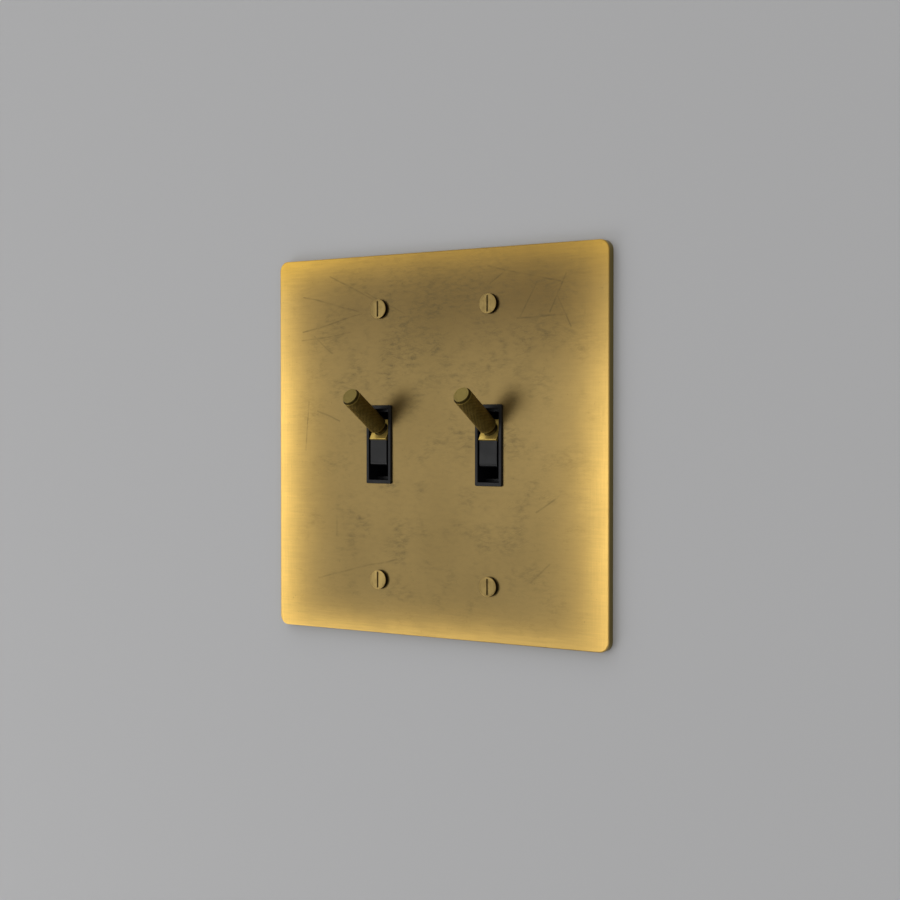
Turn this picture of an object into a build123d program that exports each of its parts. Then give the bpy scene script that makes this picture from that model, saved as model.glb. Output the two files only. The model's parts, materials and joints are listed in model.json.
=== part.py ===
from build123d import *
from math import atan2, cos, hypot, radians, sin, sqrt
import os

# Two-gang toggle light switch: a brass cover plate, two toggle mechanisms on their yokes, and the fixings.
# Millimetres. The wall is the plane Y = 0, the room is on the -Y side, X runs right and Z up.
# Each mechanism is drawn with its lever up, which is its rest position.

# Wall-box pattern
gang_pitch = 46.04
plate_screw_pitch = 96.84
box_screw_pitch = 83.34

# Cover plate
plate_width = 137.5
plate_height = 135.3
plate_skin = 0.9
plate_corner_radius = 3.5
plate_edge_radius = 0.35
plate_seat_gap = 0.1
pocket_clearance = 0.5
pocket_corner_radius = 3.0
relief_clearance = 0.6
window_clearance = 0.1

# Plate screws
plate_screw_head_diameter = 6.9
plate_screw_head_height = 1.3
plate_screw_rim = 0.15
plate_screw_slot_width = 0.75
plate_screw_slot_length = 5.7
plate_screw_slot_depth = 0.4
plate_screw_diameter = 3.4
plate_screw_tail = 7.0
plate_hole_clearance = 0.2
thread_clearance = 0.05

# Yoke
yoke_thickness = 1.0
yoke_length = 106.0
yoke_end_width = 20.0
yoke_middle_width = 26.0
yoke_shoulder = 8.0
yoke_ear_width = 34.0
yoke_ear_height = 9.0
yoke_corner_radius = 1.5
yoke_slot_length = 7.0
yoke_slot_height = 4.0
ear_hole_diameter = 3.2
ear_hole_inset = 4.5
ear_score_width = 0.6
ear_score_depth = 0.35
ear_score_offset = 0.5

# Box screws and the retainers that keep them in the yoke slots
box_screw_head_diameter = 6.8
box_screw_head_height = 1.4
box_screw_head_clearance = 0.1
box_screw_slot_width = 0.9
box_screw_slot_depth = 0.7
box_screw_diameter = 3.5
box_screw_neck_diameter = 2.9
box_screw_reach = 25.4
box_screw_point = 1.2
retainer_size = 9.0
retainer_thickness = 0.8
retainer_clearance = 0.05

# Front frame: flange, bezel collar and the well that the toggle block turns in
body_width = 25.0
body_height = 60.0
body_corner_radius = 2.0
flange_thickness = 2.2
bezel_width = 10.6
bezel_height = 27.9
bezel_proud = 0.85
bezel_corner_radius = 0.4
bezel_side_rim = 1.1
bezel_end_rim = 1.25
bezel_edge_radius = 0.15
mouth_depth = 1.2
cheek_thickness = 2.6
well_clearance = 0.3
well_wall = 1.3
stop_wall = 1.6
stop_clearance = 0.25
stop_overlap = 0.6

# Toggle: block, saddle, lever and pivot pin
pivot_depth = 6.3
toggle_travel = 63.6
facet_inset = 0.1
facet_drop = 7.5
facet_edge_radius = 1.2
wing_thickness = 4.0
hub_radius = 7.0
block_side_gap = 0.75
pin_diameter = 3.0
pin_running_clearance = 0.06
pin_seat_clearance = 0.02
pin_inset = 0.2
saddle_height = 8.2
saddle_side_gap = 0.65
saddle_face = 10.5
saddle_thickness = 1.2
saddle_edge = 0.15
saddle_fit = 0.05
lever_diameter = 6.6
lever_reach = 32.5
lever_foot_diameter = 5.4
lever_foot_height = 0.5
lever_neck_diameter = 4.4
lever_neck_length = 1.7
lever_chamfer = 0.4
lever_cap_diameter = 5.7
lever_cap_height = 0.45
lever_cap_edge = 0.1
lever_groove_width = 0.25
lever_groove_depth = 0.25
lever_tail_diameter = 3.0
lever_tail_length = 6.0
lever_tail_fit = 0.03

# Plunger and spring in the toggle block
plunger_diameter = 3.8
plunger_clearance = 0.05
plunger_reach = 12.0
plunger_bore_diameter = 2.7
plunger_wall = 0.8
plunger_stroke = 1.4
plunger_gap = 0.15
plunger_floor = 2.5
boss_reach = 11.3
boss_half_width = 2.9
spring_diameter = 2.5
spring_wire = 0.42
spring_turns = 6
spring_end_gap = 0.1

# Rocking contact
rocker_tilt = 5.0
rocker_strip = 1.0
rocker_width = 5.4
rocker_waist = 2.6
rocker_notch = 0.9
rocker_bend_radius = 2.5
rocker_wing = 4.0
cradle_margin = 2.5
button_diameter = 3.0
button_height = 0.7
contact_gap = 0.1

# Terminals
terminal_strip = 1.0
terminal_height = 5.6
terminal_clearance = 0.1
common_height = 10.0
common_tail = 4.0
contact_tail = 2.5
tab_length = 12.0
fin_thickness = 1.0
knife_flat = 0.3
knife_length = 0.8
knife_gap = 0.06
horn_gap = 0.15
horn_rise = 0.2
terminal_screw_diameter = 3.4
terminal_screw_head_diameter = 6.4
terminal_screw_head_height = 2.2
terminal_screw_rim = 0.4
terminal_screw_slot_width = 0.9
terminal_screw_slot_depth = 0.9
terminal_screw_grip = 1.8
terminal_screw_inset = 4.2

# Housing
housing_depth = 27.8
housing_wall = 2.0
housing_rear_chamfer = 1.2
chamber_corner_radius = 1.0
pillar_inset = 8.5
pillar_height = 4.0
barrier_reach = 3.0
barrier_thickness = 1.5
barrier_gap = 0.8
barrier_setback = 3.0
panel_width = 14.0
panel_height = 30.0
panel_depth = 0.5
panel_corner_radius = 1.0

# Rivets that clamp yoke, frame and housing
rivet_spacing = 51.0
rivet_diameter = 3.0
rivet_fit = 0.05
rivet_sink_diameter = 4.6
rivet_head_diameter = 5.2
rivet_head_height = 1.1
rivet_boss_diameter = 6.4

# Ground screws
ground_screw_gap = 0.4
ground_screw_diameter = 3.5
ground_screw_head_size = 6.4
ground_screw_head_height = 2.0
ground_screw_slot_width = 0.9
ground_screw_slot_depth = 0.8

# Depths that follow from the stack of plate, yoke and frame
pocket_depth = yoke_thickness + plate_seat_gap
relief_depth = yoke_thickness + box_screw_head_height + box_screw_head_clearance
plate_thickness = relief_depth + plate_skin
bezel_front = plate_thickness + bezel_proud
housing_back = flange_thickness + housing_depth
chamber_back = housing_back - housing_wall

# Widths that follow from the bezel opening
opening_width = bezel_width - 2 * bezel_side_rim
opening_height = bezel_height - 2 * bezel_end_rim
well_width = opening_width + 2 * cheek_thickness
block_width = opening_width - 2 * block_side_gap
saddle_width = opening_width - 2 * saddle_side_gap
chamber_width = body_width - 2 * housing_wall
chamber_height = body_height - 2 * housing_wall
pocket_width = gang_pitch + max(yoke_ear_width, yoke_middle_width) + 2 * pocket_clearance
pocket_height = yoke_length + 2 * pocket_clearance
yoke_middle_length = body_height + 2 * yoke_shoulder

# Ground screws sit clear of the frame's end and of the retainers
ground_screw_corner = ground_screw_head_size / sqrt(3)
ground_screw_x = retainer_size / 2 + ground_screw_corner + ground_screw_gap
ground_screw_z = -(body_height / 2 + ground_screw_head_size / 2 + ground_screw_gap)

# Toggle block, in lever coordinates: out from the pivot along the lever, then up across it.
# Its facets lean by the rest angle, so that one lies level with the bezel at each end of the travel.
rest = radians(toggle_travel / 2)
facet_reach = pivot_depth + bezel_front - facet_inset
wing_tip_out = facet_reach * cos(rest) - facet_drop * sin(rest)
wing_tip_up = facet_reach * sin(rest) + facet_drop * cos(rest)
wing_heel_out = wing_tip_out - wing_thickness * cos(rest)
wing_heel_up = wing_tip_up - wing_thickness * sin(rest)
notch_half = saddle_height / 2 + saddle_fit
brow_out = (facet_reach - notch_half * sin(rest)) / cos(rest)

# Well: room for the turning block, with a rear wall that stops the upper or lower wing's heel
sweep_radius = hypot(facet_reach - facet_edge_radius, facet_drop - facet_edge_radius) + facet_edge_radius
well_radius = sweep_radius + well_clearance
well_height = 2 * (well_radius + well_wall)
stop_depth = pivot_depth + wing_heel_up * sin(rest) - wing_heel_out * cos(rest) + stop_clearance
well_window = 2 * (wing_heel_up * cos(rest) + wing_heel_out * sin(rest) - stop_overlap)
well_back = stop_depth + stop_wall

# Rocking contact: the plunger tip's path seen from the contact is an arc, and the cradle runs beside it
plunger_radius = plunger_diameter / 2
fulcrum_reach = plunger_reach + plunger_radius + plunger_gap + rocker_strip
fulcrum_depth = pivot_depth + fulcrum_reach
tip_behind = fulcrum_reach - plunger_reach * cos(rest)
tip_below = plunger_reach * sin(rest)
tilt = radians(rocker_tilt)
path_end_u = -tip_behind * cos(tilt) - tip_below * sin(tilt)
path_end_v = tip_below * cos(tilt) - tip_behind * sin(tilt)
path_sag = plunger_reach - fulcrum_reach - path_end_u
path_radius = (path_end_v**2 + path_sag**2) / (2 * path_sag)
cradle_radius = path_radius + plunger_radius + plunger_gap + rocker_strip / 2
cradle_angle = atan2(path_end_v, path_radius - path_sag) + radians(cradle_margin)
cradle_centre = -rocker_strip / 2 - cradle_radius
bend_centre_u = cradle_centre + (cradle_radius + rocker_bend_radius) * cos(cradle_angle)
bend_centre_v = (cradle_radius + rocker_bend_radius) * sin(cradle_angle)
wing_u = bend_centre_u - rocker_bend_radius
button_v = bend_centre_v + rocker_wing / 2
button_back_u = wing_u + rocker_strip / 2 + button_height

# Terminals: places that follow from the contact and the housing
button_drop = (button_v + button_diameter / 2) * sin(tilt)
fixed_button_depth = fulcrum_depth + button_back_u * cos(tilt) + button_drop + contact_gap
contact_depth = fixed_button_depth + button_height
common_depth = chamber_back - terminal_clearance - terminal_strip
tab_inner = body_width / 2 + terminal_clearance
tab_outer = tab_inner + terminal_strip
contact_tab_front = contact_depth + terminal_strip - tab_length
common_tab_front = common_depth + terminal_strip - tab_length
contact_screw_depth = contact_tab_front + terminal_screw_inset
common_screw_depth = common_tab_front + terminal_screw_inset

gangs = {"left": -gang_pitch / 2, "right": gang_pitch / 2}


def front_plane(gang_x, depth=0.0):
    """Plane across the mechanism, facing the room, at a depth behind the wall plane."""
    return Plane(origin=(gang_x, depth, 0), x_dir=(1, 0, 0), z_dir=(0, -1, 0))


def side_plane(gang_x, depth=0.0):
    """Upright plane through the gang's middle: local x runs into the wall, local y up."""
    return Plane(origin=(gang_x, depth, 0), x_dir=(0, 1, 0), z_dir=(1, 0, 0))


def level_plane(gang_x, height=0.0):
    """Level plane through the gang: local x runs right, local y into the wall."""
    return Plane(origin=(gang_x, 0, height), x_dir=(1, 0, 0), z_dir=(0, 0, 1))


def lever_direction():
    """Unit vector from the pivot out along the raised lever."""
    return Vector(0, -cos(rest), sin(rest))


def pivot_point(gang_x):
    return Vector(gang_x, pivot_depth, 0)


def lever_axis(gang_x):
    return Axis(pivot_point(gang_x), lever_direction())


def lever_plane(gang_x):
    """Upright plane through the lever: local x runs out along the lever, local y up across it."""
    return Plane(origin=pivot_point(gang_x), x_dir=lever_direction(), z_dir=(-1, 0, 0))


def lever_section(gang_x, reach):
    """Plane square to the lever, a given distance out from the pivot."""
    return Plane(
        origin=pivot_point(gang_x) + lever_direction() * reach,
        x_dir=(1, 0, 0),
        z_dir=lever_direction(),
    )


def rocker_plane(gang_x):
    """Upright plane of the tilted contact, from its fulcrum: local x runs back, local y up."""
    return Plane(
        origin=(gang_x, fulcrum_depth, 0),
        x_dir=(0, cos(tilt), sin(tilt)),
        z_dir=(1, 0, 0),
    )


def save(part, name):
    part.label = name
    export_step(part, f"parts/{name}.step")


def build_cover_plate():
    """Brass plate with a softened front edge, milled behind to take yokes and box-screw heads."""
    with BuildPart() as plate:
        with BuildSketch(Plane.XZ):
            RectangleRounded(plate_width, plate_height, plate_corner_radius)
        extrude(amount=plate_thickness)
        fillet(plate.faces().sort_by(Axis.Y)[0].edges(), plate_edge_radius)
        with BuildSketch(Plane.XZ):
            RectangleRounded(pocket_width, pocket_height, pocket_corner_radius)
        extrude(amount=pocket_depth, mode=Mode.SUBTRACT)
        with BuildSketch(Plane.XZ):
            with GridLocations(gang_pitch, box_screw_pitch, 2, 2):
                Circle(box_screw_head_diameter / 2 + relief_clearance)
        extrude(amount=relief_depth, mode=Mode.SUBTRACT)
        with BuildSketch(Plane.XZ):
            with GridLocations(gang_pitch, plate_screw_pitch, 2, 2):
                Circle(plate_screw_diameter / 2 + plate_hole_clearance)
            with GridLocations(gang_pitch, 0, 2, 1):
                RectangleRounded(
                    bezel_width + 2 * window_clearance,
                    bezel_height + 2 * window_clearance,
                    bezel_corner_radius + window_clearance,
                )
        extrude(amount=plate_thickness, mode=Mode.SUBTRACT)
    return plate.part


def build_plate_screws():
    """Flat round-headed slotted screws that hold the plate to the yokes."""
    seat = Plane.XZ.offset(plate_thickness)
    with BuildPart() as screws:
        with BuildSketch(seat):
            with GridLocations(gang_pitch, plate_screw_pitch, 2, 2):
                Circle(plate_screw_head_diameter / 2)
        extrude(amount=plate_screw_head_height)
        fronts = screws.faces().group_by(Axis.Y)[0]
        chamfer(fronts.edges(), plate_screw_rim)
        with BuildSketch(seat.offset(plate_screw_head_height)):
            with GridLocations(gang_pitch, plate_screw_pitch, 2, 2):
                SlotOverall(plate_screw_slot_length, plate_screw_slot_width, rotation=90)
        extrude(amount=-plate_screw_slot_depth, mode=Mode.SUBTRACT)
        with BuildSketch(seat):
            with GridLocations(gang_pitch, plate_screw_pitch, 2, 2):
                Circle(plate_screw_diameter / 2)
        extrude(amount=-(plate_thickness + plate_screw_tail))
    return screws.part


def build_yoke(gang_x):
    """Pressed steel strap with scored plaster ears, slots for the box screws and tapped plate-screw holes."""
    with BuildPart() as yoke:
        with BuildSketch(front_plane(gang_x)):
            RectangleRounded(yoke_end_width, yoke_length, yoke_corner_radius)
            RectangleRounded(yoke_middle_width, yoke_middle_length, yoke_corner_radius)
            with GridLocations(0, plate_screw_pitch, 1, 2):
                RectangleRounded(yoke_ear_width, yoke_ear_height, yoke_ear_height / 2 - yoke_corner_radius)
            with GridLocations(yoke_ear_width - 2 * ear_hole_inset, plate_screw_pitch, 2, 2):
                Circle(ear_hole_diameter / 2, mode=Mode.SUBTRACT)
            with GridLocations(0, plate_screw_pitch, 1, 2):
                Circle(plate_screw_diameter / 2 + thread_clearance, mode=Mode.SUBTRACT)
            with GridLocations(0, box_screw_pitch, 1, 2):
                SlotOverall(yoke_slot_length, yoke_slot_height, mode=Mode.SUBTRACT)
            with Locations((ground_screw_x, ground_screw_z)):
                Circle(ground_screw_diameter / 2 + thread_clearance, mode=Mode.SUBTRACT)
            RectangleRounded(
                bezel_width + 2 * window_clearance,
                bezel_height + 2 * window_clearance,
                bezel_corner_radius + window_clearance,
                mode=Mode.SUBTRACT,
            )
        extrude(amount=yoke_thickness)
        with BuildSketch(front_plane(gang_x)):
            with GridLocations(yoke_end_width + 2 * ear_score_offset, plate_screw_pitch, 2, 2):
                Rectangle(ear_score_width, yoke_ear_height)
        extrude(amount=ear_score_depth, mode=Mode.SUBTRACT)
        with Locations(front_plane(gang_x, -yoke_thickness)):
            with GridLocations(0, rivet_spacing, 1, 2):
                Cone(
                    rivet_diameter / 2 + rivet_fit,
                    rivet_sink_diameter / 2 + rivet_fit,
                    yoke_thickness,
                    align=(Align.CENTER, Align.CENTER, Align.MAX),
                    mode=Mode.SUBTRACT,
                )
    return yoke.part


def build_box_screws():
    """Captive screws, loose in the yoke slots, whose free threads go into the wall box."""
    with BuildPart() as screws:
        with BuildSketch(Plane.XZ.offset(yoke_thickness)):
            with GridLocations(gang_pitch, box_screw_pitch, 2, 2):
                Circle(box_screw_head_diameter / 2)
        extrude(amount=box_screw_head_height)
        chamfer(screws.faces().group_by(Axis.Y)[0].edges(), box_screw_head_height / 3)
        with BuildSketch(Plane.XZ.offset(yoke_thickness + box_screw_head_height)):
            with GridLocations(gang_pitch, box_screw_pitch, 2, 2):
                Rectangle(box_screw_slot_width, box_screw_head_diameter)
        extrude(amount=-box_screw_slot_depth, mode=Mode.SUBTRACT)
        with BuildSketch(Plane.XZ.offset(yoke_thickness)):
            with GridLocations(gang_pitch, box_screw_pitch, 2, 2):
                Circle(box_screw_neck_diameter / 2)
        extrude(amount=-(yoke_thickness + 2 * retainer_thickness))
        with BuildSketch(Plane.XZ.offset(-2 * retainer_thickness)):
            with GridLocations(gang_pitch, box_screw_pitch, 2, 2):
                Circle(box_screw_diameter / 2)
        extrude(amount=-(box_screw_reach - 2 * retainer_thickness))
        chamfer(screws.faces().group_by(Axis.Y)[-1].edges(), box_screw_point)
    return screws.part


def build_screw_retainers():
    """Square fibre washers behind the yokes that stop the box screws falling out."""
    with BuildPart() as retainers:
        with BuildSketch(Plane.XZ):
            with GridLocations(gang_pitch, box_screw_pitch, 2, 2):
                RectangleRounded(retainer_size, retainer_size, yoke_corner_radius)
                Circle(box_screw_neck_diameter / 2 + retainer_clearance, mode=Mode.SUBTRACT)
        extrude(amount=-retainer_thickness)
    return retainers.part


def build_front_frame(gang_x):
    """Black moulding: flange behind the yoke, bezel collar through the plate, and the toggle block's well."""
    with BuildPart() as frame:
        with BuildSketch(front_plane(gang_x)):
            RectangleRounded(body_width, body_height, body_corner_radius)
        extrude(amount=-flange_thickness)
        with BuildSketch(front_plane(gang_x)):
            RectangleRounded(bezel_width, bezel_height, bezel_corner_radius)
        extrude(amount=bezel_front)
        with BuildSketch(front_plane(gang_x, flange_thickness)):
            Rectangle(well_width, well_height)
        extrude(amount=flange_thickness - well_back)
        with BuildSketch(front_plane(gang_x, mouth_depth)):
            Rectangle(opening_width, opening_height)
        extrude(amount=mouth_depth + bezel_front, mode=Mode.SUBTRACT)
        fillet(frame.faces().sort_by(Axis.Y)[0].edges(), bezel_edge_radius)
        with BuildSketch(side_plane(gang_x, pivot_depth)):
            Circle(well_radius)
            with Locations((stop_depth - pivot_depth, 0)):
                Rectangle(
                    2 * well_radius,
                    2 * well_radius,
                    align=(Align.MAX, Align.CENTER),
                    mode=Mode.INTERSECT,
                )
        extrude(amount=opening_width / 2, both=True, mode=Mode.SUBTRACT)
        with BuildSketch(front_plane(gang_x, well_back)):
            Rectangle(opening_width, well_window)
        extrude(amount=stop_wall, mode=Mode.SUBTRACT)
        with BuildSketch(side_plane(gang_x, pivot_depth)):
            Circle(pin_diameter / 2 + pin_seat_clearance)
        extrude(amount=well_width / 2, both=True, mode=Mode.SUBTRACT)
        with BuildSketch(front_plane(gang_x)):
            with GridLocations(0, rivet_spacing, 1, 2):
                Circle(rivet_diameter / 2 + rivet_fit)
        extrude(amount=-flange_thickness, mode=Mode.SUBTRACT)
    return frame.part


def build_toggle_block(gang_x):
    """Black block on the pivot pin: two facets, a notch for the saddle, bores for lever tail and plunger."""
    with BuildPart() as block:
        with BuildSketch(lever_plane(gang_x)):
            with BuildLine():
                Polyline(
                    (brow_out, 0),
                    (brow_out, notch_half),
                    (wing_tip_out, wing_tip_up),
                    (wing_heel_out, wing_heel_up),
                    (wing_heel_out, 0),
                )
                mirror(about=Plane.XZ)
            make_face()
        extrude(amount=block_width / 2, both=True)
        wing_tips = block.edges().filter_by(Axis.X).sort_by_distance(pivot_point(gang_x))[-2:]
        fillet(wing_tips, facet_edge_radius)
        with BuildSketch(side_plane(gang_x, pivot_depth)):
            Circle(hub_radius)
        extrude(amount=block_width / 2, both=True)
        with BuildSketch(lever_plane(gang_x)):
            Rectangle(boss_reach, 2 * boss_half_width, align=(Align.MAX, Align.CENTER))
        extrude(amount=block_width / 2, both=True)
        with BuildSketch(lever_section(gang_x, saddle_face - saddle_thickness)):
            Rectangle(2 * block_width, 2 * notch_half)
        extrude(amount=brow_out, mode=Mode.SUBTRACT)
        with BuildSketch(lever_section(gang_x, saddle_face)):
            Circle(lever_tail_diameter / 2 + lever_tail_fit)
        extrude(amount=-lever_tail_length, mode=Mode.SUBTRACT)
        with BuildSketch(lever_section(gang_x, -plunger_floor)):
            Circle(plunger_radius + plunger_clearance)
        extrude(amount=-boss_reach, mode=Mode.SUBTRACT)
        with BuildSketch(side_plane(gang_x, pivot_depth)):
            Circle(pin_diameter / 2 + pin_running_clearance)
        extrude(amount=block_width, both=True, mode=Mode.SUBTRACT)
    return block.part


def build_saddle(gang_x):
    """Brass block set into the toggle block, on which the lever stands."""
    with BuildPart() as saddle:
        with BuildSketch(lever_section(gang_x, saddle_face)):
            Rectangle(saddle_width, saddle_height)
            Circle(lever_tail_diameter / 2 + lever_tail_fit, mode=Mode.SUBTRACT)
        extrude(amount=-saddle_thickness)
        outer = saddle.faces().sort_by(lever_axis(gang_x))[-1].outer_wire().edges()
        chamfer(outer, saddle_edge)
    return saddle.part


def build_lever(gang_x):
    """Turned brass lever: tail, foot, neck, grip, and the smaller end cap behind its groove."""
    tail_radius = lever_tail_diameter / 2
    foot_radius = lever_foot_diameter / 2
    neck_radius = lever_neck_diameter / 2
    grip_radius = lever_diameter / 2
    cap_radius = lever_cap_diameter / 2
    foot_end = saddle_face + lever_foot_height
    neck_end = foot_end + lever_neck_length
    groove_end = lever_reach - lever_cap_height
    groove_start = groove_end - lever_groove_width
    shoulder = grip_radius - cap_radius
    with BuildPart() as lever:
        with BuildSketch(lever_plane(gang_x)):
            with BuildLine():
                Polyline(
                    (saddle_face - lever_tail_length, 0),
                    (saddle_face - lever_tail_length, tail_radius),
                    (saddle_face, tail_radius),
                    (saddle_face, foot_radius),
                    (foot_end, neck_radius),
                    (neck_end, neck_radius),
                    (neck_end, grip_radius - lever_chamfer),
                    (neck_end + lever_chamfer, grip_radius),
                    (groove_start - shoulder, grip_radius),
                    (groove_start, cap_radius),
                    (groove_start, cap_radius - lever_groove_depth),
                    (groove_end, cap_radius - lever_groove_depth),
                    (groove_end, cap_radius),
                    (lever_reach - lever_cap_edge, cap_radius),
                    (lever_reach, cap_radius - lever_cap_edge),
                    (lever_reach, 0),
                    close=True,
                )
            make_face()
        revolve(axis=lever_axis(gang_x))
    return lever.part


def build_pivot_pin(gang_x):
    """Steel pin, held in the well's cheeks, that the toggle block turns on."""
    with BuildPart() as pin:
        with BuildSketch(side_plane(gang_x, pivot_depth)):
            Circle(pin_diameter / 2)
        extrude(amount=well_width / 2 - pin_inset, both=True)
    return pin.part


def build_plunger(gang_x):
    """Hollow round-nosed plunger, open towards the pivot, that presses on the rocking contact."""
    bore_radius = plunger_bore_diameter / 2
    mouth = -plunger_floor - plunger_stroke - plunger_gap
    bore_end = plunger_wall - plunger_reach
    nose_offset = plunger_radius * sqrt(0.5)
    with BuildPart() as plunger:
        with BuildSketch(lever_plane(gang_x)):
            with BuildLine():
                Polyline(
                    (-plunger_reach - plunger_radius, 0),
                    (bore_end, 0),
                    (bore_end, bore_radius),
                    (mouth, bore_radius),
                    (mouth, plunger_radius),
                    (-plunger_reach, plunger_radius),
                )
                ThreePointArc(
                    (-plunger_reach, plunger_radius),
                    (-plunger_reach - nose_offset, nose_offset),
                    (-plunger_reach - plunger_radius, 0),
                )
            make_face()
        revolve(axis=lever_axis(gang_x))
    return plunger.part


def build_plunger_spring(gang_x):
    """Coil spring between the toggle block's bore and the plunger's bore."""
    start = plunger_floor + spring_end_gap + spring_wire / 2
    end = plunger_reach - plunger_wall - spring_end_gap - spring_wire / 2
    length = end - start
    with BuildPart() as spring:
        with BuildLine() as coil:
            Helix(
                pitch=length / spring_turns,
                height=length,
                radius=(spring_diameter - spring_wire) / 2,
                center=pivot_point(gang_x) - lever_direction() * start,
                direction=lever_direction() * -1,
            )
        with BuildSketch(Plane(origin=coil.line @ 0, z_dir=coil.line % 0)):
            Circle(spring_wire / 2)
        sweep(path=coil.line, is_frenet=True)
    return spring.part


def build_rocker_contact(gang_x):
    """Bent copper strip: a cradle for the plunger, with a wing for a contact button at each end."""
    arc_u = cradle_centre + cradle_radius * cos(cradle_angle)
    arc_v = cradle_radius * sin(cradle_angle)
    half_bend = cradle_angle / 2
    mid_u = bend_centre_u - rocker_bend_radius * cos(half_bend)
    mid_v = bend_centre_v - rocker_bend_radius * sin(half_bend)
    wing_end = bend_centre_v + rocker_wing
    with BuildPart() as rocker:
        with BuildSketch(rocker_plane(gang_x)):
            with BuildLine():
                ThreePointArc((arc_u, -arc_v), (-rocker_strip / 2, 0), (arc_u, arc_v))
                for side in (-1, 1):
                    ThreePointArc(
                        (arc_u, side * arc_v),
                        (mid_u, side * mid_v),
                        (wing_u, side * bend_centre_v),
                    )
                    Line((wing_u, side * bend_centre_v), (wing_u, side * wing_end))
            trace(line_width=rocker_strip)
        extrude(amount=rocker_width / 2, both=True)
        for side in (-1, 1):
            with BuildSketch(rocker_plane(gang_x).offset(side * rocker_waist / 2)):
                Rectangle(4 * rocker_strip, 2 * rocker_notch)
            extrude(amount=side * rocker_width, mode=Mode.SUBTRACT)
    return rocker.part


def build_rocker_buttons(gang_x):
    """Silver buttons on the backs of the rocking contact's wings."""
    tilted = rocker_plane(gang_x)
    seat = tilted.origin + tilted.x_dir * (wing_u + rocker_strip / 2)
    back = Plane(origin=seat, x_dir=(1, 0, 0), z_dir=tilted.x_dir)
    with BuildPart() as buttons:
        with BuildSketch(back):
            with GridLocations(0, 2 * button_v, 1, 2):
                Circle(button_diameter / 2)
        extrude(amount=button_height)
    return buttons.part


def build_common_terminal(gang_x):
    """Common terminal: a finned plate whose knife edge carries the rocking contact, and its screw tab."""
    with BuildPart() as terminal:
        with BuildSketch(level_plane(gang_x)):
            with BuildLine():
                Polyline(
                    (-common_tail, common_depth),
                    (tab_inner, common_depth),
                    (tab_inner, common_tab_front),
                    (tab_outer, common_tab_front),
                    (tab_outer, common_depth + terminal_strip),
                    (-common_tail, common_depth + terminal_strip),
                    close=True,
                )
            make_face()
        extrude(amount=common_height / 2, both=True)
        knife = fulcrum_depth + knife_gap
        with BuildSketch(side_plane(gang_x)):
            with BuildLine():
                Polyline(
                    (knife, -knife_flat / 2),
                    (knife + knife_length, -fin_thickness / 2),
                    (common_depth, -fin_thickness / 2),
                    (common_depth, fin_thickness / 2),
                    (knife + knife_length, fin_thickness / 2),
                    (knife, knife_flat / 2),
                    close=True,
                )
            make_face()
        extrude(amount=rocker_width / 2, both=True)
        horn_front = fulcrum_depth - rocker_strip - horn_rise
        horn_width = (rocker_width - rocker_waist) / 2 - horn_gap
        horn_back = knife + knife_length
        for side in (-1, 1):
            with BuildSketch(front_plane(gang_x, horn_back)):
                with Locations((side * (rocker_width - horn_width) / 2, 0)):
                    Rectangle(horn_width, fin_thickness)
            extrude(amount=horn_back - horn_front)
        with BuildSketch(side_plane(gang_x + tab_inner)):
            with Locations((common_screw_depth, 0)):
                Circle(terminal_screw_diameter / 2 + thread_clearance)
        extrude(amount=terminal_strip, mode=Mode.SUBTRACT)
    return terminal.part


def build_contact_terminal(gang_x, side):
    """Upper or lower terminal: a strip that carries the fixed button and leaves through the left wall."""
    height = side * button_v
    with BuildPart() as terminal:
        with BuildSketch(level_plane(gang_x, height)):
            with BuildLine():
                Polyline(
                    (contact_tail, contact_depth),
                    (-tab_inner, contact_depth),
                    (-tab_inner, contact_tab_front),
                    (-tab_outer, contact_tab_front),
                    (-tab_outer, contact_depth + terminal_strip),
                    (contact_tail, contact_depth + terminal_strip),
                    close=True,
                )
            make_face()
        extrude(amount=terminal_height / 2, both=True)
        with BuildSketch(side_plane(gang_x - tab_outer)):
            with Locations((contact_screw_depth, height)):
                Circle(terminal_screw_diameter / 2 + thread_clearance)
        extrude(amount=terminal_strip, mode=Mode.SUBTRACT)
    return terminal.part


def build_fixed_buttons(gang_x):
    """Silver buttons on the upper and lower terminals."""
    with BuildPart() as buttons:
        with BuildSketch(front_plane(gang_x, contact_depth)):
            with GridLocations(0, 2 * button_v, 1, 2):
                Circle(button_diameter / 2)
        extrude(amount=button_height)
    return buttons.part


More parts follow.
